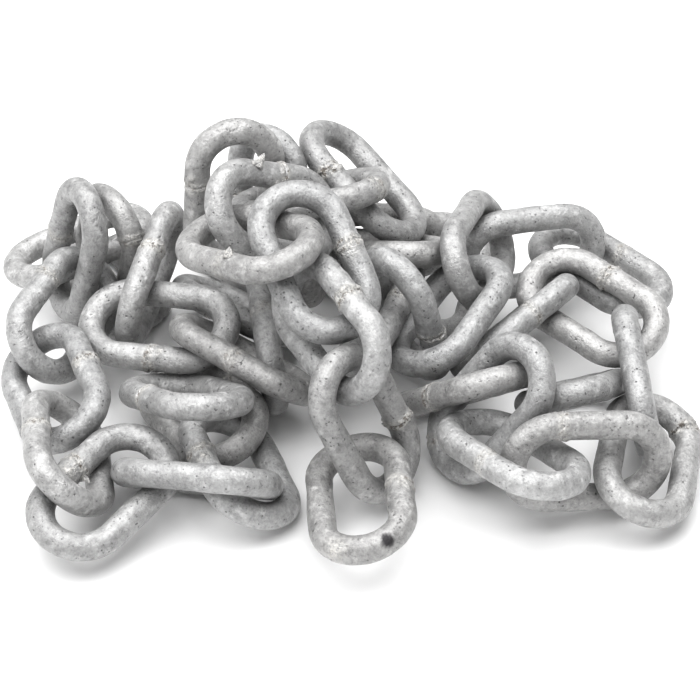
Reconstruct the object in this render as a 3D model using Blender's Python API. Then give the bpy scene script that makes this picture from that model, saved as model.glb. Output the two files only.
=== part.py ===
# A heap of welded steel chain, lying loose on a level floor.
#
# Every link is the same welded ring of round wire. A table says where each one
# lies. Its numbers were not picked by hand: separate fitting and search
# programs worked them out, for most links from points marked along the wires in
# a photograph, and they were then rounded. Hidden links were placed by search
# alone. The links are eased apart until no two wires share space, and links
# that only nearly touch are drawn together, because steel links in a heap bear
# on one another.

import math

import bmesh
import bpy
import numpy as np
from mathutils import Matrix

MM = 0.001

# One link in millimetres, taken to be 3/16 inch chain.
WIRE = 5.5
INSIDE_LENGTH = 24.1
INSIDE_WIDTH = 10.2
SIDES = 8
BEND_STEPS = 8

# How closely two wires lie where they touch, in millimetres.
CLEARANCE = 0.3

# How the heap is eased into place.
ROUNDS = 150
FREE_ROUNDS = 250
HOLD = 0.012
PUSH = 1.7
DRAW = 0.3
TURN_RADIUS = 9.0

# Galvanised steel: matt mid grey metal.
ZINC_COLOUR = (0.50, 0.50, 0.49, 1.0)
ZINC_ROUGHNESS = 0.5
ZINC_METALLIC = 0.9

# Where each link lies: centre x, y, z in millimetres, then in degrees the
# heading of its long axis seen from above, the rise of that axis out of the
# level, and the roll of the ring about it. The front of the heap faces -Y.
POSES = {
    # Left end of the heap, from the back round to the front.
    "link_01": (-52, 28, 17, -62, 67, -80),
    "link_02": (-60, 34, 13, 24, 9, -14),
    "link_03": (-59, 23, 20, -4, 76, 32),
    "link_04": (-60, 8, 14, 68, 1, 50),
    "link_05": (-60, -13, 12, -68, -1, 28),
    "link_06": (-56, -31, 11, -81, 7, -43),
    "link_07": (-48, -40, 9, 55, 4, 12),
    "link_08": (-30, -37, 9, -18, 10, -45),
    "link_09": (-22, -30, 6, -70, -1, -25),
    "link_10": (-30, -13, 6, -59, 4, 22),
    # Between the left end and the crest.
    "link_11": (-43, 17, 18, 74, 19, -79),
    "link_12": (-40, 2, 15, -17, 6, 22),
    "link_13": (-22, -7, 14, -33, -8, -41),
    "link_14": (-18, 3, 12, -84, -17, -85),
    # The crest.
    "link_15": (-24, 20, 36, 30, 74, 74),
    "link_16": (-18, 29, 29, 58, 80, -8),
    "link_17": (-8, 22, 34, -12, 8, -20),
    "link_18": (-16, 10, 39, 24, -24, 39),
    "link_19": (-20, -5, 43, -43, 17, 6),
    "link_20": (-7, -10, 42, -63, -31, 4),
    "link_21": (3, 29, 31, -40, -17, -20),
    # Down the front from the crest.
    "link_22": (-4, -20, 34, -58, -9, 65),
    "link_23": (3, -31, 18, -17, -65, 20),
    "link_24": (2, -43, 10, -87, 3, 12),
    # The middle and the right of the heap.
    "link_25": (6, 3, 17, 71, 4, -56),
    "link_26": (12, 2, 20, 14, -78, -23),
    "link_27": (20, 1, 20, 61, 9, -17),
    "link_28": (27, 19, 23, 69, -13, 57),
    "link_29": (39, 28, 16, 15, -4, 79),
    "link_30": (54, 26, 12, -42, -4, -6),
    "link_31": (35, 7, 12, 45, 6, -53),
    "link_32": (51, 9, 15, -42, -8, 20),
    "link_33": (58, -11, 12, -87, -13, -77),
    "link_34": (59, -30, 9, 78, 4, 20),
    "link_35": (46, -36, 13, 9, -7, 75),
    "link_36": (32, -35, 15, -54, 7, -13),
    "link_37": (28, -24, 16, 8, 54, 24),
    "link_38": (23, -16, 14, -38, 37, -22),
    # Links of which only dark bits show between the others.
    "link_39": (7, 23, 21, -49, 26, -19),
    "link_40": (-24, 17, 8, -45, 7, -35),
    "link_41": (46, -15, 12, 64, -31, -27),
    "link_42": (-33, -19, 15, -57, 30, -15),
    # Hidden links, which are guesses: five beneath and behind the crest, and one
    # flat on the floor under the left end.
    "link_43": (-5, 29, 18, 75, 3, -83),
    "link_44": (-5, 41, 8, -11, 12, 24),
    "link_45": (-23, 37, 10, -43, 2, 70),
    "link_46": (6, 37, 12, -6, 3, -82),
    "link_47": (20, 29, 8, 75, 13, 22),
    "link_48": (-54, 33, 3, -55, 0, 0),
}
# Links that lie quite flat, with a side of the wire on the floor.
LYING_FLAT = ("link_48",)


def turned(heading, rise, roll):
    # Rotation that takes the link's own axes to the heap's axes.
    h = math.radians(heading)
    s = math.radians(rise)
    r = math.radians(roll)
    along = np.array([math.cos(s) * math.cos(h), math.cos(s) * math.sin(h), math.sin(s)])
    level = np.array([-math.sin(h), math.cos(h), 0.0])
    across = level * math.cos(r) + np.cross(along, level) * math.sin(r)
    return np.column_stack([along, across, np.cross(along, across)])


def spun(rotation, turn):
    # The rotation after a small turn given as a rotation vector in radians.
    angle = float(np.linalg.norm(turn))
    if angle < 1e-9:
        return rotation
    step = Matrix.Rotation(angle, 3, [float(v) for v in turn / angle])
    return np.array(step) @ rotation


def centre_line():
    # Wire centre at each of the mesh's rings, in the link's own axes.
    half_width = (INSIDE_WIDTH + WIRE) / 2
    bend_centre = (INSIDE_LENGTH + WIRE) / 2 - half_width
    points = []
    for end in (1, -1):
        for step in range(BEND_STEPS + 1):
            angle = math.pi * (step / BEND_STEPS - 0.5)
            x = end * (bend_centre + half_width * math.cos(angle))
            y = end * half_width * math.sin(angle)
            points.append((x, y, 0.0))
    return np.array(points)


def closest(a0, a1, b0, b1):
    # Closest points of many pairs of straight pieces of wire.
    da = a1 - a0
    db = b1 - b0
    gap = a0 - b0
    aa = np.einsum("...k,...k", da, da)
    bb = np.einsum("...k,...k", db, db)
    ab = np.einsum("...k,...k", da, db)
    ag = np.einsum("...k,...k", da, gap)
    bg = np.einsum("...k,...k", db, gap)
    spread = np.maximum(aa * bb - ab * ab, 1e-9)
    s = np.clip((ab * bg - bb * ag) / spread, 0, 1)
    t = np.clip((ab * s + bg) / bb, 0, 1)
    s = np.clip((ab * t - ag) / aa, 0, 1)
    pa = a0 + s[..., None] * da
    pb = b0 + t[..., None] * db
    return pa, pb


def nearest_points(lines, pairs):
    # For each pair of links, the two points where their wires come closest.
    ends = np.roll(lines, -1, axis=1)
    first, second = pairs[:, 0], pairs[:, 1]
    pa, pb = closest(
        lines[first][:, :, None],
        ends[first][:, :, None],
        lines[second][:, None],
        ends[second][:, None],
    )
    reach = np.linalg.norm(pa - pb, axis=-1).reshape(len(pairs), -1)
    best = reach.argmin(axis=1)
    rows = np.arange(len(pairs))
    pa = pa.reshape(len(pairs), -1, 3)[rows, best]
    pb = pb.reshape(len(pairs), -1, 3)[rows, best]
    return pa, pb, reach[rows, best]


def joining_pairs(count, pairs, reach):
    # The shortest set of near contacts that joins every link to the heap.
    group = list(range(count))
    chosen = set()
    for index in np.argsort(reach, kind="stable"):
        a, b = pairs[index]
        if group[a] == group[b]:
            continue
        chosen.add(int(index))
        old = group[b]
        group = [group[a] if g == old else g for g in group]
    return chosen


def ease_apart(centres, rotations, flat):
    # Moves and turns the links a little until no two wires share space.
    line = centre_line()
    start_centres = centres.copy()
    start_rotations = [rotation.copy() for rotation in rotations]
    count = len(centres)
    every_pair = np.array([(a, b) for a in range(count) for b in range(a + 1, count)])
    touching = WIRE + CLEARANCE
    for turn_number in range(ROUNDS + FREE_ROUNDS):
        lines = np.array([c + line @ r.T for c, r in zip(centres, rotations)])
        apart = np.linalg.norm(centres[every_pair[:, 0]] - centres[every_pair[:, 1]], axis=1)
        pairs = every_pair[apart < INSIDE_LENGTH + 3 * WIRE]
        pa, pb, reach = nearest_points(lines, pairs)
        joining = joining_pairs(count, pairs, reach)
        for index, (a, b) in enumerate(pairs):
            lack = touching - reach[index]
            if lack > 0:
                lack = lack * PUSH
            elif index in joining:
                lack = lack * DRAW
            else:
                continue
            away = (pa[index] - pb[index]) / max(reach[index], 1e-6)
            arm_a = np.cross(pa[index] - centres[a], away) / TURN_RADIUS
            arm_b = np.cross(pb[index] - centres[b], away) / TURN_RADIUS
            push = lack / (2 + arm_a @ arm_a + arm_b @ arm_b)
            centres[a] = centres[a] + away * push
            centres[b] = centres[b] - away * push
            rotations[a] = spun(rotations[a], arm_a * push / TURN_RADIUS)
            rotations[b] = spun(rotations[b], -arm_b * push / TURN_RADIUS)
        for index in flat:
            centres[index][2] = WIRE / 2 * math.cos(math.pi / SIDES)
            rotations[index] = start_rotations[index]
        for index in range(count):
            if index in flat:
                continue
            world = centres[index] + line @ rotations[index].T
            lowest = world[world[:, 2].argmin()]
            lack = WIRE / 2 - lowest[2]
            if lack > 0:
                up = np.array([0.0, 0.0, 1.0])
                arm = np.cross(lowest - centres[index], up) / TURN_RADIUS
                push = lack / (1 + arm @ arm)
                centres[index] = centres[index] + up * push
                rotations[index] = spun(rotations[index], arm * push / TURN_RADIUS)
            if turn_number < ROUNDS:
                centres[index] += (start_centres[index] - centres[index]) * HOLD
                back = start_rotations[index] @ rotations[index].T
                twist = np.array([back[2, 1] - back[1, 2], back[0, 2] - back[2, 0], back[1, 0] - back[0, 1]])
                rotations[index] = spun(rotations[index], twist * 0.5 * HOLD)
    return centres, rotations


def link_mesh(name):
    # A round wire swept round a ring: two bends of half a turn, two straights.
    half_width = (INSIDE_WIDTH + WIRE) / 2
    bend_centre = (INSIDE_LENGTH + WIRE) / 2 - half_width
    bm = bmesh.new()
    place = Matrix.Translation((bend_centre * MM, -half_width * MM, 0))
    place = place @ Matrix.Rotation(math.pi / 2, 4, "Y") @ Matrix.Rotation(math.pi / SIDES, 4, "Z")
    start = bmesh.ops.create_circle(
        bm, cap_ends=False, radius=WIRE / 2 * MM, segments=SIDES, matrix=place
    )
    ring = list({edge for vert in start["verts"] for edge in vert.link_edges})
    for end in (1, -1):
        bend = bmesh.ops.spin(
            bm,
            geom=ring,
            cent=(end * bend_centre * MM, 0, 0),
            axis=(0, 0, 1),
            angle=math.pi,
            steps=BEND_STEPS,
            use_duplicate=False,
        )
        ring = [item for item in bend["geom_last"] if isinstance(item, bmesh.types.BMEdge)]
        straight = bmesh.ops.extrude_edge_only(bm, edges=ring)
        moved = [item for item in straight["geom"] if isinstance(item, bmesh.types.BMVert)]
        bmesh.ops.translate(bm, verts=moved, vec=(-end * 2 * bend_centre * MM, 0, 0))
        ring = [item for item in straight["geom"] if isinstance(item, bmesh.types.BMEdge)]
        ring = [edge for edge in ring if all(vert in moved for vert in edge.verts)]
    bmesh.ops.remove_doubles(bm, verts=bm.verts, dist=0.01 * MM)
    bmesh.ops.recalc_face_normals(bm, faces=bm.faces)
    mesh = bpy.data.meshes.new(name)
    bm.to_mesh(mesh)
    bm.free()
    return mesh


def zinc(name):
    material = bpy.data.materials.new(name)
    material.use_nodes = True
    shader = material.node_tree.nodes["Principled BSDF"]
    shader.inputs["Base Color"].default_value = ZINC_COLOUR
    shader.inputs["Roughness"].default_value = ZINC_ROUGHNESS
    shader.inputs["Metallic"].default_value = ZINC_METALLIC
    return material


def build():
    for item in list(bpy.data.objects):
        bpy.data.objects.remove(item)
    names = list(POSES)
    centres = np.array([POSES[name][:3] for name in names], dtype=float)
    rotations = [turned(*POSES[name][3:]) for name in names]
    flat = [names.index(name) for name in LYING_FLAT]
    centres, rotations = ease_apart(centres, rotations, flat)
    links = []
    for name, centre, rotation in zip(names, centres, rotations):
        mesh = link_mesh(name)
        mesh.materials.append(zinc("zinc_" + name))
        link = bpy.data.objects.new(name, mesh)
        link.rotation_mode = "QUATERNION"
        link.rotation_quaternion = Matrix(rotation.tolist()).to_quaternion()
        link.location = [float(v) * MM for v in centre]
        bpy.context.scene.collection.objects.link(link)
        links.append(link)
    bpy.context.view_layer.update()
    corners = [link.matrix_world @ vert.co for link in links for vert in link.data.vertices]
    low = [min(corner[axis] for corner in corners) for axis in range(3)]
    high = [max(corner[axis] for corner in corners) for axis in range(3)]
    for link in links:
        link.location.x -= (low[0] + high[0]) / 2
        link.location.y -= (low[1] + high[1]) / 2
        link.location.z -= low[2]


build()
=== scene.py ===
# %% [markdown]
# # A heap of galvanised chain
# The object is a loose heap of short-link steel chain, dipped in zinc after welding. Every link is
# the same ring of round wire, closed by one weld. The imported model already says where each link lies,
# so this script only gives each one its real surface: round wire, weld bead, lumps, burrs and pits of
# the zinc coat, and the mottled grey of the metal.

import math

import bpy
import numpy as np
from mathutils import Matrix, Vector


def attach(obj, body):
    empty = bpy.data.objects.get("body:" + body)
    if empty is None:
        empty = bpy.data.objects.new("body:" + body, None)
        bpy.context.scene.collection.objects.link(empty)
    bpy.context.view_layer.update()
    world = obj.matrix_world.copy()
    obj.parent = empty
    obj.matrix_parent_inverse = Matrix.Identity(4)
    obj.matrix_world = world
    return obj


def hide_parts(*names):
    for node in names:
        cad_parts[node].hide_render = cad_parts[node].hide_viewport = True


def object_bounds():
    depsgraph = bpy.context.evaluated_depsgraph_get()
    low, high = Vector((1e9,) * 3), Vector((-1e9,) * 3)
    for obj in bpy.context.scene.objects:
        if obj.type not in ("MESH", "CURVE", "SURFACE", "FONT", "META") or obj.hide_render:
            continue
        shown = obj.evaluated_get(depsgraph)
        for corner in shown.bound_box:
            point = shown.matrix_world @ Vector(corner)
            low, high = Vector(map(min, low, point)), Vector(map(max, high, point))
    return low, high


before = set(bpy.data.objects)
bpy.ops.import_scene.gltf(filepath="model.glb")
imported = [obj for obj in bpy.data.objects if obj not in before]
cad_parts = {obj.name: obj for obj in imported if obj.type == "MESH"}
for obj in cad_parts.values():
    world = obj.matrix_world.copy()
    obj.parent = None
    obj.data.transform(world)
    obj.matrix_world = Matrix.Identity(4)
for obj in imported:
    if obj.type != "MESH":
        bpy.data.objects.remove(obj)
cad_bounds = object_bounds()
MM = 0.001
print("links in the heap:", len(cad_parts))

# %% [markdown]
# ## The camera
# The photograph looks down on the front of the heap, from a good way off, so the links keep their
# proportions from the near side to the far side. The camera comes first because the marks left by
# welding and dipping are placed by where the photograph shows them.

# %% Camera at the photograph's angle
FRAME_PIXELS = 700
CAMERA_RISE = math.radians(40.0)
CAMERA_DISTANCE = 0.440
LENS = 108.2
SENSOR = 36.0
# The point of the heap that is at the middle of the photograph.
LOOK_AT = Vector((0.0027, 0.0042, 0.0111))

camera_back = Vector((0.0, -math.cos(CAMERA_RISE), math.sin(CAMERA_RISE)))
camera_up = Vector((0.0, math.sin(CAMERA_RISE), math.cos(CAMERA_RISE)))
camera_right = Vector((1.0, 0.0, 0.0))
camera_place = LOOK_AT + camera_back * CAMERA_DISTANCE

camera_data = bpy.data.cameras.new("camera")
camera_data.lens = LENS
camera_data.sensor_width = SENSOR
camera_data.clip_start = 0.01
camera = bpy.data.objects.new("camera", camera_data)
turn = Matrix((camera_right, camera_up, camera_back)).transposed().to_4x4()
camera.matrix_world = Matrix.Translation(camera_place) @ turn
bpy.context.scene.collection.objects.link(camera)
bpy.context.scene.camera = camera
PIXELS_PER_SLOPE = LENS / SENSOR * FRAME_PIXELS
print("camera", round(CAMERA_DISTANCE * 1000), "mm away,", round(math.degrees(CAMERA_RISE)), "degrees up")


# %% Where points fall in the photograph
def seen_at(points):
    # Pixels of points of the scene in the photograph, and how far away they are.
    away = np.asarray(points) - np.array(camera_place)
    depth = away @ -np.array(camera_back)
    u = FRAME_PIXELS / 2 + PIXELS_PER_SLOPE * (away @ np.array(camera_right)) / depth
    v = FRAME_PIXELS / 2 - PIXELS_PER_SLOPE * (away @ np.array(camera_up)) / depth
    return np.stack([u, v], axis=-1), depth


print("middle of the photograph:", seen_at([LOOK_AT])[0][0])

# %% [markdown]
# ## Where each link lies
# A link is the same all round, so its mesh alone tells its place: the middle of its points is its
# centre, the way the points spread furthest is its length, and the way they spread least is straight
# through its eye. Of the two ways each of these can point, one is chosen by a fixed rule.

# %% Read the place of every link
WIRE = 5.5
INSIDE_LENGTH = 24.1
INSIDE_WIDTH = 10.2
HALF_WIDTH = (INSIDE_WIDTH + WIRE) / 2
STRAIGHT = INSIDE_LENGTH - INSIDE_WIDTH
RING_LENGTH = 2 * STRAIGHT + 2 * math.pi * HALF_WIDTH


def link_place(node):
    # The centre and the length, width and eye directions of a link, from its mesh.
    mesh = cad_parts[node].data
    spots = np.empty(len(mesh.vertices) * 3)
    mesh.vertices.foreach_get("co", spots)
    spots = np.unique(spots.reshape(-1, 3).round(6), axis=0)
    centre = (spots.min(axis=0) + spots.max(axis=0)) / 2
    spread, ways = np.linalg.eigh(np.cov((spots - centre).T))
    along = ways[:, 2]
    through = ways[:, 0]
    if along @ np.array([1.0, 0.31, 0.17]) < 0:
        along = -along
    if through @ np.array(camera_back) < 0:
        through = -through
    return centre, np.column_stack([along, np.cross(through, along), through])


places = {node: link_place(node) for node in sorted(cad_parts)}
print("ring of wire", round(RING_LENGTH, 1), "mm long, in", len(places), "places")

# %% [markdown]
# ## The wire of a link
# The real link is drawn wire, bent round a mandrel and butt welded. A curve with a round bevel would
# give the plain ring, but the coat needs its own relief at every point, so the wire is laid out here as
# a grid instead: steps along the ring one way, steps around the wire the other. The steps crowd
# together at the weld, where the relief is finest, and open out on the far side of the ring.

# %% Lay out the plain wire
STEPS_ALONG = 210
STEPS_AROUND = 40
CROWDING = 0.62
around_wire = np.arange(STEPS_AROUND) * 2 * math.pi / STEPS_AROUND


def ring_points(distances):
    # Wire centres at distances round the ring, and the way each points outwards in the link's plane.
    distances = distances % RING_LENGTH
    second = distances >= RING_LENGTH / 2
    side = np.where(second, -1.0, 1.0)
    along = distances - np.where(second, RING_LENGTH / 2, 0.0)
    straight = along < STRAIGHT
    angle = math.pi / 2 + (along - STRAIGHT) / HALF_WIDTH
    out_x = np.where(straight, 0.0, side * np.cos(angle))
    out_y = np.where(straight, side, side * np.sin(angle))
    x = np.where(straight, side * (STRAIGHT / 2 - along), HALF_WIDTH * out_x - side * STRAIGHT / 2)
    level = np.zeros_like(x)
    return np.stack([x, HALF_WIDTH * out_y, level], axis=-1), np.stack([out_x, out_y, level], axis=-1)


def wire_grid(distances):
    # Wire centres, and the outward way at every point of the grid around them.
    centres, outward = ring_points(distances)
    upward = np.array([0.0, 0.0, 1.0])
    normals = outward[:, None] * np.cos(around_wire)[None, :, None]
    normals = normals + upward * np.sin(around_wire)[None, :, None]
    return centres, normals


def crowded_steps(weld):
    # Distances round the ring, closest together at the weld.
    turn = np.arange(STEPS_ALONG) / STEPS_ALONG
    return weld + RING_LENGTH * (turn - CROWDING * np.sin(2 * math.pi * turn) / (2 * math.pi))


even_steps = np.linspace(0, RING_LENGTH, 200, endpoint=False)
even_centres, even_normals = wire_grid(even_steps)
print("points on a link:", STEPS_ALONG * STEPS_AROUND)

# %% [markdown]
# ## What the photograph shows on each link
# Welds show as a crusty pale bead with dark specks and a fine seam, some bold and some faint. Zinc that
# ran off and froze stands up as a lump, a spike or a thin fin, and in one place the coat has been
# knocked off. Each mark is named with the pixel where it is seen, and is then put on the nearest point
# of that link's wire. Welds that can't be seen are put in the middle of a leg, where chain is welded.

# %% Places of the welds, with how bold each one is
WELDS_SEEN = {
    "link_01": (147, 232, 0.6),
    "link_03": (60, 230, 0.7),
    "link_04": (50, 282, 0.9),
    "link_05": (85, 368, 0.9),
    "link_06": (38, 430, 0.9),
    "link_07": (75, 466, 1.3),
    "link_09": (202, 455, 1.2),
    "link_11": (150, 250, 0.9),
    "link_12": (150, 372, 0.8),
    "link_13": (225, 378, 0.6),
    "link_15": (197, 182, 0.7),
    "link_17": (372, 190, 0.6),
    "link_18": (278, 180, 0.9),
    "link_19": (228, 262, 0.5),
    "link_20": (352, 244, 1.1),
    "link_21": (342, 162, 1.3),
    "link_22": (348, 300, 1.1),
    "link_23": (398, 417, 1.3),
    "link_24": (404, 487, 0.8),
    "link_32": (612, 272, 1.2),
    "link_33": (622, 330, 0.7),
    "link_34": (670, 440, 1.1),
    "link_35": (560, 425, 0.8),
    "link_36": (490, 460, 0.7),
    "link_37": (446, 440, 0.6),
}
print(len(WELDS_SEEN), "welds are seen")

# %% Places of lumps and bare steel
# Each lump has the pixel where it is seen, then its reach and its height in millimetres.
LUMPS_SEEN = [
    ("link_24", (335, 552), 2.2, 0.40),
    ("link_12", (160, 352), 0.9, 0.60),
    ("link_15", (192, 180), 0.8, 0.55),
    ("link_18", (275, 183), 1.0, 0.50),
    ("link_20", (347, 246), 2.0, 0.35),
    ("link_09", (204, 457), 1.4, 0.60),
    ("link_05", (79, 365), 1.0, 0.45),
    ("link_07", (70, 470), 2.0, 0.45),
    ("link_24", (403, 483), 1.2, 0.40),
    ("link_34", (672, 440), 1.5, 0.30),
]
BARE_SEEN = [("link_24", (388, 540), 1.3)]
# Each burr has the pixels of its foot and its tip, and the half width of its foot in millimetres.
BURRS_SEEN = [
    ("link_19", (229, 256), (230, 246), 1.25),
    ("link_18", (258, 166), (265, 154), 1.30),
    ("link_23", (381, 424), (386, 431), 0.80),
    ("link_09", (207, 458), (213, 464), 0.70),
    ("link_07", (84, 478), (91, 483), 0.80),
]
print(len(LUMPS_SEEN), "lumps,", len(BURRS_SEEN), "burrs and", len(BARE_SEEN), "bare spot are seen")


# %% Put a seen mark on its link
def nearest_distance(node, pixel):
    # The distance along a link's wire that the photograph shows nearest to a pixel.
    centre, axes = places[node]
    spots, depth = seen_at(centre + even_centres * MM @ axes.T)
    return even_steps[np.linalg.norm(spots - np.array(pixel), axis=1).argmin()]


def surface_mark(node, pixel):
    # The point of a link's surface seen at a pixel, in the link's own axes in millimetres.
    centre, axes = places[node]
    surface = (even_centres[:, None] + even_normals * WIRE / 2).reshape(-1, 3)
    facing = even_normals.reshape(-1, 3) @ axes.T @ np.array(camera_back) > 0.05
    spots, depth = seen_at(centre + surface * MM @ axes.T)
    miss = np.linalg.norm(spots - np.array(pixel), axis=1) + np.where(facing, 0.0, 1000.0)
    return surface[miss.argmin()]


print("weld of link_20 is", round(nearest_distance("link_20", WELDS_SEEN["link_20"][:2]), 1), "mm round")

# %% [markdown]
# ## Uneven metal
# Hot zinc runs and freezes unevenly, and bending leaves the wire a little out of true. A sum of many
# small waves in all directions gives a smooth unevenness that is the same on every run, and that
# differs from link to link once each link reads it at a place of its own.

# %% A smooth unevenness to read anywhere
rng = np.random.default_rng(11)
WAVES = 40
wave_ways = rng.normal(size=(WAVES, 3))
wave_ways /= np.linalg.norm(wave_ways, axis=1, keepdims=True)
wave_starts = rng.uniform(0, 2 * math.pi, WAVES)
wave_sizes = rng.uniform(0.7, 1.6, WAVES)


def unevenness(spots, size):
    # Between about -1 and 1, and smooth over the given size in millimetres.
    phases = spots @ (wave_ways * wave_sizes[:, None]).T * (2 * math.pi / size / 1.6) + wave_starts
    return np.sin(phases).sum(axis=-1) / math.sqrt(WAVES / 2) * 0.6


print("unevenness over a link:", np.round(np.std(unevenness(even_centres, 6.0)), 2))

# %% [markdown]
# ## The weld bead
# The two ends of the wire were pressed together red hot, so the metal was upset into a low crusty bead
# with a fine seam in its middle, and one end often sits slightly to one side of the other.

# %% Relief of the weld
BEAD_HEIGHT = 0.30
BEAD_REACH = 1.25
SEAM_DEPTH = 0.26
SEAM_REACH = 0.20
STEP_OVER = 0.14


def weld_relief(from_weld, own, boldness, shift_way):
    # How far the wire stands out near its weld, and how much of the pale crust lies there.
    ragged = from_weld + 0.40 * unevenness(own, 4.5)
    bead = np.exp(-((ragged / BEAD_REACH) ** 4))
    crust = bead * (0.6 + 0.4 * unevenness(own, 2.2))
    seam = np.exp(-((ragged / SEAM_REACH) ** 2))
    height = BEAD_HEIGHT * crust + 0.10 * bead * unevenness(own, 0.9) - SEAM_DEPTH * seam
    over = np.tanh(from_weld / 0.25) * np.exp(-((from_weld / 3.2) ** 2))
    height = height + STEP_OVER * over * np.cos(around_wire - shift_way)[None, :]
    return boldness * height, np.clip(boldness * bead, 0, 1)


print("bead", BEAD_HEIGHT, "mm high and", 2 * BEAD_REACH, "mm wide")


# %% Relief of lumps, bare steel and coat
def link_relief(node, number):
    # Where the points of a link are, how far each stands out, and its weld, lump and bare masks.
    picker = np.random.default_rng(100 + number)
    boldness = picker.uniform(0.5, 1.0)
    weld_at = STRAIGHT / 2 + picker.integers(0, 2) * RING_LENGTH / 2
    if node in WELDS_SEEN:
        u, v, boldness = WELDS_SEEN[node]
        weld_at = nearest_distance(node, (u, v))
    distances = crowded_steps(weld_at)
    centres, normals = wire_grid(distances)
    spots = centres[:, None] + normals * WIRE / 2
    own = spots + np.array([37.0, 11.0, 23.0]) * (number + 1)
    height = 0.085 * unevenness(own, 9.0) + 0.040 * unevenness(own, 3.4) + 0.018 * unevenness(own, 1.5)
    from_weld = (distances - weld_at + RING_LENGTH / 2) % RING_LENGTH - RING_LENGTH / 2
    rise, crust = weld_relief(from_weld[:, None], own, boldness, picker.uniform(0, 2 * math.pi))
    height = height + rise
    lump = np.zeros_like(height)
    bare = np.zeros_like(height)
    for owner, pixel, reach, rise in LUMPS_SEEN:
        if owner == node:
            near = np.linalg.norm(spots - surface_mark(node, pixel), axis=-1) / reach
            height = height + rise * np.exp(-(near**1.6)) * (1 + 0.25 * unevenness(own, 1.2))
            lump = np.maximum(lump, np.exp(-(near**2)))
    for owner, pixel, reach in BARE_SEEN:
        if owner == node:
            near = np.linalg.norm(spots - surface_mark(node, pixel), axis=-1) / reach
            hole = 1 / (1 + np.exp((near + 0.15 * unevenness(own, 1.7) - 1.0) * 16))
            height = height - 0.14 * hole
            bare = np.maximum(bare, hole)
    for index in range(picker.integers(3, 7)):
        spot = spots[picker.integers(0, STEPS_ALONG), picker.integers(0, STEPS_AROUND)]
        near = np.linalg.norm(spots - spot, axis=-1) / picker.uniform(0.5, 1.1)
        height = height + picker.uniform(0.05, 0.18) * np.exp(-(near**2))
    return centres, normals, height, {"weld": crust, "lump": lump, "bare": bare}


test_height = link_relief("link_20", 20)[2]
print("relief from", round(float(test_height.min()), 2), "to", round(float(test_height.max()), 2), "mm")

# %% [markdown]
# ## Painted shade where links touch
# Where two links bear on one another, the corner between them is painted darker to stand in for shade. The
# closeness of every surface point to the wire of the other links is worked out once and kept as a mask.

# %% How close the other links are
# How far the painted shade reaches from the corners where links touch, in millimetres.
GRIME_REACH = 2.2
world_wires = {node: centre + even_centres[::2] * MM @ axes.T for node, (centre, axes) in places.items()}


def grime_mask(node, world_spots):
    # How much painted shade: one where another link touches, falling to nothing a few millimetres away.
    centre = places[node][0]
    nearest = np.full(len(world_spots), 1.0)
    for other, wire in world_wires.items():
        if other != node and np.linalg.norm(places[other][0] - centre) < 0.036:
            gap = np.linalg.norm(world_spots[:, None] - wire[None], axis=-1).min(axis=1)
            nearest = np.minimum(nearest, gap - WIRE / 2 * MM)
    return np.exp(-((np.clip(nearest, 0, None) / (GRIME_REACH * MM)) ** 2))


print("wires laid out for", len(world_wires), "links")


# %% Frozen burrs of zinc
def burr_shape(node, foot, tip, half_width):
    # A thin wedge from the pixel of its foot to the pixel of its tip, in the link's own axes.
    centre, axes = places[node]
    root = surface_mark(node, foot)
    start = centre + axes @ root * MM
    spots, depth = seen_at([start])
    scale = depth[0] / PIXELS_PER_SLOPE / MM
    across = np.array(camera_right)
    rise_way = np.array(camera_up)
    reach = ((tip[0] - foot[0]) * across - (tip[1] - foot[1]) * rise_way) * scale
    reach = reach @ axes
    level = np.cross(reach, axes.T @ np.array(camera_back))
    level = level / np.linalg.norm(level)
    thin = np.cross(level, reach / np.linalg.norm(reach))
    rings = []
    angles = np.arange(12) * 2 * math.pi / 12
    for step in range(7):
        share = step / 6
        wide = half_width * (1 - share) ** 0.8 + 0.06
        middle = root - reach * 0.12 + reach * 1.12 * share
        ring = middle + np.cos(angles)[:, None] * level * wide + np.sin(angles)[:, None] * thin * wide * 0.5
        rings.append(ring + 0.08 * unevenness(ring, 0.8)[:, None] * level)
    corners = []
    for step in range(6):
        for spot in range(12):
            after = (spot + 1) % 12
            low, high = step * 12, step * 12 + 12
            corners.append((low + spot, low + after, high + after, high + spot))
    return np.concatenate(rings), corners + [tuple(range(11, -1, -1)), tuple(range(72, 84))]


print("a burr has", len(burr_shape(*BURRS_SEEN[0])[0]), "points")

# %% [markdown]
# ## The zinc coat
# The coat is what the eye sees: a matt grey that is neither smooth nor even. Paler bloom and darker
# patches a few millimetres wide lie over a fine grain, with small dark specks and pits. One node group
# makes the pattern, and each link's material reads it at a place of its own and in its own tone.

# %% Helpers for node groups
def new_group(name, inputs, outputs):
    # A shader node group with named sockets. Each entry is a name, a kind and a starting value.
    group = bpy.data.node_groups.new(name, "ShaderNodeTree")
    for socket_name, kind, value in inputs:
        socket = group.interface.new_socket(name=socket_name, in_out="INPUT", socket_type=kind)
        if value is not None:
            socket.default_value = value
    for socket_name, kind in outputs:
        group.interface.new_socket(name=socket_name, in_out="OUTPUT", socket_type=kind)
    return group, group.nodes.new("NodeGroupInput"), group.nodes.new("NodeGroupOutput")


def noise(tree, where, size_mm, detail=3.0, roughness=0.55):
    # Noise whose blotches are about the given size, read in metres.
    node = tree.nodes.new("ShaderNodeTexNoise")
    node.inputs["Scale"].default_value = 1000.0 / size_mm
    node.inputs["Detail"].default_value = detail
    node.inputs["Roughness"].default_value = roughness
    tree.links.new(where, node.inputs["Vector"])
    return node.outputs["Fac"]


def ramp(tree, value, low, high):
    # Spreads a value between low and high over 0 to 1.
    node = tree.nodes.new("ShaderNodeMapRange")
    node.inputs["From Min"].default_value = low
    node.inputs["From Max"].default_value = high
    tree.links.new(value, node.inputs["Value"])
    return node.outputs["Result"]


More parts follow.
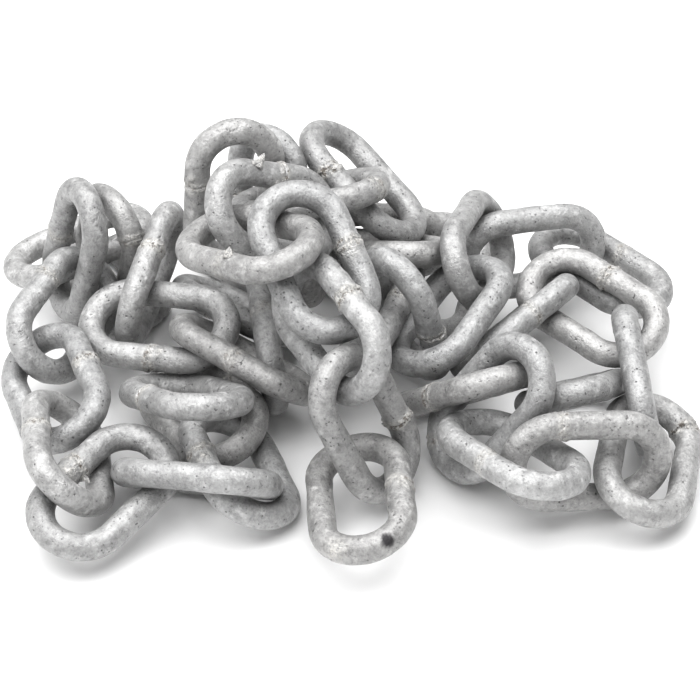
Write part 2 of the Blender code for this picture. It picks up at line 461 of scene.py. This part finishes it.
def fill(tree, sockets, values):
    # Sets or links each socket in turn.
    for socket, value in zip(sockets, values):
        if isinstance(value, (int, float, tuple)):
            socket.default_value = value
        else:
            tree.links.new(value, socket)


def math_node(tree, operation, *values):
    node = tree.nodes.new("ShaderNodeMath")
    node.operation = operation
    fill(tree, node.inputs, values)
    return node.outputs["Value"]


def mix_colour(tree, factor, first, second):
    node = tree.nodes.new("ShaderNodeMix")
    node.data_type = "RGBA"
    fill(tree, [s for s in node.inputs if s.enabled], (factor, first, second))
    return [s for s in node.outputs if s.enabled][0]


print("helpers ready")

# %% Node group for the zinc pattern
zinc_group, zinc_in, zinc_out = new_group(
    "zinc pattern",
    [
        ("Place", "NodeSocketVector", None),
        ("Pale", "NodeSocketColor", (0.50, 0.50, 0.495, 1.0)),
        ("Dark", "NodeSocketColor", (0.20, 0.20, 0.20, 1.0)),
        ("Bloom", "NodeSocketColor", (0.72, 0.72, 0.71, 1.0)),
        ("Speck", "NodeSocketColor", (0.06, 0.06, 0.06, 1.0)),
        # Painted shade where other links touch, read from the mesh attribute.
        ("Grime", "NodeSocketFloat", 0.0),
    ],
    [("Colour", "NodeSocketColor"), ("Bloom Mask", "NodeSocketFloat"), ("Height", "NodeSocketFloat")],
)
tree = zinc_group
place = zinc_in.outputs["Place"]
patches = ramp(tree, noise(tree, place, 6.0, 3.0, 0.6), 0.34, 0.68)
blotch = ramp(tree, noise(tree, place, 1.7, 4.0, 0.65), 0.36, 0.64)
grain = ramp(tree, noise(tree, place, 0.50, 3.0, 0.75), 0.34, 0.66)
tone = math_node(tree, "MULTIPLY", patches, 0.30)
tone = math_node(tree, "MULTIPLY_ADD", blotch, 0.38, tone)
tone = math_node(tree, "MULTIPLY_ADD", grain, 0.32, tone)
base = mix_colour(tree, tone, zinc_in.outputs["Dark"], zinc_in.outputs["Pale"])
print("tones mixed from", len(tree.nodes), "nodes")

# %% Bloom, specks, pits and painted contact shade in the zinc pattern
bloom = ramp(tree, noise(tree, place, 2.6, 6.0, 0.72), 0.54, 0.70)
base = mix_colour(tree, math_node(tree, "MULTIPLY", bloom, 0.55), base, zinc_in.outputs["Bloom"])
speck = ramp(tree, noise(tree, place, 0.85, 2.0, 0.6), 0.37, 0.28)
speck_where = ramp(tree, noise(tree, place, 4.4, 3.0, 0.6), 0.40, 0.58)
speck = math_node(tree, "MULTIPLY", speck, speck_where)
base = mix_colour(tree, math_node(tree, "MULTIPLY", speck, 0.75), base, zinc_in.outputs["Speck"])
pits = tree.nodes.new("ShaderNodeTexVoronoi")
pits.inputs["Scale"].default_value = 1000.0 / 1.5
tree.links.new(place, pits.inputs["Vector"])
pit_mask = ramp(tree, pits.outputs["Distance"], 0.18, 0.08)
pit_mask = math_node(tree, "MULTIPLY", pit_mask, ramp(tree, noise(tree, place, 3.1, 2.0, 0.5), 0.48, 0.58))
base = mix_colour(tree, math_node(tree, "MULTIPLY", pit_mask, 0.8), base, zinc_in.outputs["Speck"])
# Painted shade: where another link touches, the colour is darkened toward the speck colour, patchy with the
# blotches.
grime = math_node(tree, "MULTIPLY", zinc_in.outputs["Grime"], ramp(tree, blotch, -0.6, 1.0))
base = mix_colour(tree, math_node(tree, "MULTIPLY", grime, 0.75), base, zinc_in.outputs["Speck"])
height = math_node(tree, "MULTIPLY", blotch, 0.55)
height = math_node(tree, "MULTIPLY_ADD", grain, 0.45, height)
height = math_node(tree, "MULTIPLY_ADD", speck, -0.5, height)
height = math_node(tree, "MULTIPLY_ADD", pit_mask, -0.9, height)
tree.links.new(base, zinc_out.inputs["Colour"])
tree.links.new(bloom, zinc_out.inputs["Bloom Mask"])
tree.links.new(height, zinc_out.inputs["Height"])
print("zinc pattern has", len(tree.nodes), "nodes")

# %% [markdown]
# ## Crust at the weld
# Where the wire was welded the zinc took unevenly, so the bead is a pale crust with dark specks, and
# its burrs are brighter and coarser than the rest. The masks are painted on the mesh as attributes,
# because only the mesh knows where its weld is.

# %% Node group for welds and bare steel
weld_group, weld_in, weld_out = new_group(
    "weld and bare steel",
    [
        ("Place", "NodeSocketVector", None),
        ("Colour", "NodeSocketColor", (0.5, 0.5, 0.5, 1.0)),
        ("Crust", "NodeSocketColor", (0.78, 0.76, 0.72, 1.0)),
        ("Stain", "NodeSocketColor", (0.13, 0.105, 0.08, 1.0)),
        ("Steel", "NodeSocketColor", (0.035, 0.033, 0.036, 1.0)),
        ("Weld", "NodeSocketFloat", 0.0),
        ("Lump", "NodeSocketFloat", 0.0),
        ("Bare", "NodeSocketFloat", 0.0),
    ],
    [("Colour", "NodeSocketColor"), ("Height", "NodeSocketFloat")],
)
tree = weld_group
place = weld_in.outputs["Place"]
either = math_node(tree, "MAXIMUM", weld_in.outputs["Weld"], weld_in.outputs["Lump"])
frost = ramp(tree, noise(tree, place, 0.8, 3.0, 0.7), 0.38, 0.58)
frost_mask = math_node(tree, "MULTIPLY", math_node(tree, "MULTIPLY", frost, either), 0.62)
colour = mix_colour(tree, frost_mask, weld_in.outputs["Colour"], weld_in.outputs["Crust"])
stain = ramp(tree, noise(tree, place, 1.3, 3.0, 0.7), 0.55, 0.63)
stain_mask = math_node(tree, "MULTIPLY", math_node(tree, "MULTIPLY", stain, weld_in.outputs["Weld"]), 0.8)
colour = mix_colour(tree, stain_mask, colour, weld_in.outputs["Stain"])
colour = mix_colour(tree, weld_in.outputs["Bare"], colour, weld_in.outputs["Steel"])
coarse = math_node(tree, "MULTIPLY", either, math_node(tree, "SUBTRACT", frost, stain))
tree.links.new(colour, weld_out.inputs["Colour"])
tree.links.new(coarse, weld_out.inputs["Height"])
print("weld group has", len(tree.nodes), "nodes")

# %% [markdown]
# ## One material for each link
# All links were dipped in the same bath, yet each came out in its own tone: some paler, some darker,
# some a little warm. So each link has a material of its own that sets the tones and places the
# pattern, and the two groups do the rest.

# %% Material of a link
ROUGHNESS = 0.50
METALLIC = 0.55
TONES = {"Pale": 0.56, "Dark": 0.21, "Bloom": 0.80, "Speck": 0.055}


def zinc_material(node, number):
    picker = np.random.default_rng(500 + number)
    tone = picker.uniform(0.92, 1.08)
    warm = picker.uniform(-0.002, 0.010)
    material = bpy.data.materials.new("finish_" + node)
    material.use_nodes = True
    tree = material.node_tree
    shader = tree.nodes["Principled BSDF"]
    shifted = tree.nodes.new("ShaderNodeVectorMath")
    shifted.operation = "ADD"
    shifted.inputs[1].default_value = tuple(picker.uniform(-1.0, 1.0, 3))
    tree.links.new(tree.nodes.new("ShaderNodeTexCoord").outputs["Object"], shifted.inputs[0])
    groups = []
    for group in (zinc_group, weld_group):
        holder = tree.nodes.new("ShaderNodeGroup")
        holder.node_tree = group
        tree.links.new(shifted.outputs["Vector"], holder.inputs["Place"])
        groups.append(holder)
    pattern, weld = groups
    for key, grey in TONES.items():
        shade = grey * tone
        pattern.inputs[key].default_value = (shade * (1 + warm), shade, shade * (1 - warm), 1.0)
    # The contact shade attribute darkens the colour as painted shade; weld, lump and bare steel are the
    # link's own marks.
    for key, holder in (("Grime", pattern), ("Weld", weld), ("Lump", weld), ("Bare", weld)):
        mask = tree.nodes.new("ShaderNodeAttribute")
        mask.attribute_name = key.lower()
        tree.links.new(mask.outputs["Fac"], holder.inputs[key])
    tree.links.new(pattern.outputs["Colour"], weld.inputs["Colour"])
    tree.links.new(weld.outputs["Colour"], shader.inputs["Base Color"])
    rough = math_node(tree, "MULTIPLY_ADD", pattern.outputs["Bloom Mask"], 0.15, ROUGHNESS)
    metal = math_node(tree, "MULTIPLY_ADD", pattern.outputs["Bloom Mask"], -0.30, METALLIC)
    tree.links.new(rough, shader.inputs["Roughness"])
    tree.links.new(metal, shader.inputs["Metallic"])
    relief = math_node(tree, "MULTIPLY_ADD", weld.outputs["Height"], 1.2, pattern.outputs["Height"])
    bump = tree.nodes.new("ShaderNodeBump")
    bump.inputs["Strength"].default_value = 0.8
    bump.inputs["Distance"].default_value = 0.00016
    tree.links.new(relief, bump.inputs["Height"])
    tree.links.new(bump.outputs["Normal"], shader.inputs["Normal"])
    return material


print("material maker ready")

# %% [markdown]
# ## Build the links
# Each link's grid is closed both ways into a ring, raised by its relief, and set down exactly where its
# plain stand-in lies. The stand-in is hidden and stays for collision.

# %% Faces of the closed grid
def grid_faces():
    # Four corners for each patch of the grid, closed both along and around.
    row, column = np.meshgrid(np.arange(STEPS_ALONG), np.arange(STEPS_AROUND), indexing="ij")
    next_row = (row + 1) % STEPS_ALONG
    next_column = (column + 1) % STEPS_AROUND
    corners = [
        row * STEPS_AROUND + column,
        row * STEPS_AROUND + next_column,
        next_row * STEPS_AROUND + next_column,
        next_row * STEPS_AROUND + column,
    ]
    return [tuple(patch) for patch in np.stack(corners, axis=-1).reshape(-1, 4).tolist()]


faces = grid_faces()
print("patches on a link:", len(faces))


# %% Make every link
def coated_link(node, number):
    centre, axes = places[node]
    centres, normals, height, masks = link_relief(node, number)
    spots = (centres[:, None] + normals * (WIRE / 2 + height)[..., None]).reshape(-1, 3)
    # Painted shade in the corners where other links touch, kept with the other masks.
    masks["grime"] = grime_mask(node, centre + spots * MM @ axes.T)
    masks = {key: mask.reshape(-1) for key, mask in masks.items()}
    all_faces = list(faces)
    for owner, foot, tip, half_width in BURRS_SEEN:
        if owner == node:
            extra, corners = burr_shape(node, foot, tip, half_width)
            all_faces += [tuple(len(spots) + corner for corner in face) for face in corners]
            spots = np.concatenate([spots, extra])
            for key, mask in masks.items():
                masks[key] = np.concatenate([mask, np.full(len(extra), 1.0 if key == "lump" else 0.0)])
    mesh = bpy.data.meshes.new("coated_" + node)
    mesh.from_pydata((spots * MM).tolist(), [], all_faces)
    for key, mask in masks.items():
        painted = mesh.attributes.new(key, "FLOAT", "POINT")
        painted.data.foreach_set("value", mask.astype(np.float32))
    mesh.polygons.foreach_set("use_smooth", [True] * len(mesh.polygons))
    mesh.update()
    mesh.materials.append(zinc_material(node, number))
    link = bpy.data.objects.new("coated_" + node, mesh)
    link.matrix_world = Matrix.Translation(Vector(centre)) @ Matrix(axes.tolist()).to_4x4()
    bpy.context.scene.collection.objects.link(link)
    return link


triangles = 0
for number, node in enumerate(places):
    link = coated_link(node, number)
    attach(link, "root")
    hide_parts(node)
    triangles += sum(len(face.vertices) - 2 for face in link.data.polygons)
print("made", len(places), "links with", triangles, "triangles in all")

# %% [markdown]
# ## Floor and light
# The heap was photographed on plain white, under broad soft light from above that leaves pale
# highlights along the tops of the links and short soft shadows on the floor.

# %% Floor
floor_low = cad_bounds[0][2]
bpy.ops.mesh.primitive_plane_add(size=6.0, location=(0.0, 0.0, floor_low))
floor = bpy.context.object
floor.name = "floor"
floor_finish = bpy.data.materials.new("floor_white")
floor_finish.use_nodes = True
floor_shader = floor_finish.node_tree.nodes["Principled BSDF"]
floor_shader.inputs["Base Color"].default_value = (0.90, 0.90, 0.90, 1.0)
floor_shader.inputs["Roughness"].default_value = 0.6
floor.data.materials.append(floor_finish)
print("floor at", round(floor_low * 1000, 2), "mm")


# %% Lights
def soft_light(name, place, aim, size, power):
    data = bpy.data.lights.new(name, "AREA")
    data.shape = "RECTANGLE"
    data.size = size[0]
    data.size_y = size[1]
    data.energy = power
    light = bpy.data.objects.new(name, data)
    light.location = place
    light.rotation_euler = (Vector(aim) - Vector(place)).to_track_quat("-Z", "Y").to_euler()
    bpy.context.scene.collection.objects.link(light)


soft_light("overhead", (-0.10, 0.10, 1.0), (0, 0, 0), (1.5, 1.3), 27.0)
soft_light("front_left", (-0.8, -0.6, 0.7), (0, 0, 0), (0.6, 0.6), 3.0)
world = bpy.data.worlds.new("studio")
world.use_nodes = True
world.node_tree.nodes["Background"].inputs["Color"].default_value = (1.0, 1.0, 1.0, 1.0)
world.node_tree.nodes["Background"].inputs["Strength"].default_value = 0.30
bpy.context.scene.world = world
bpy.context.scene.view_settings.view_transform = "Standard"
print("lights:", len(bpy.data.lights))
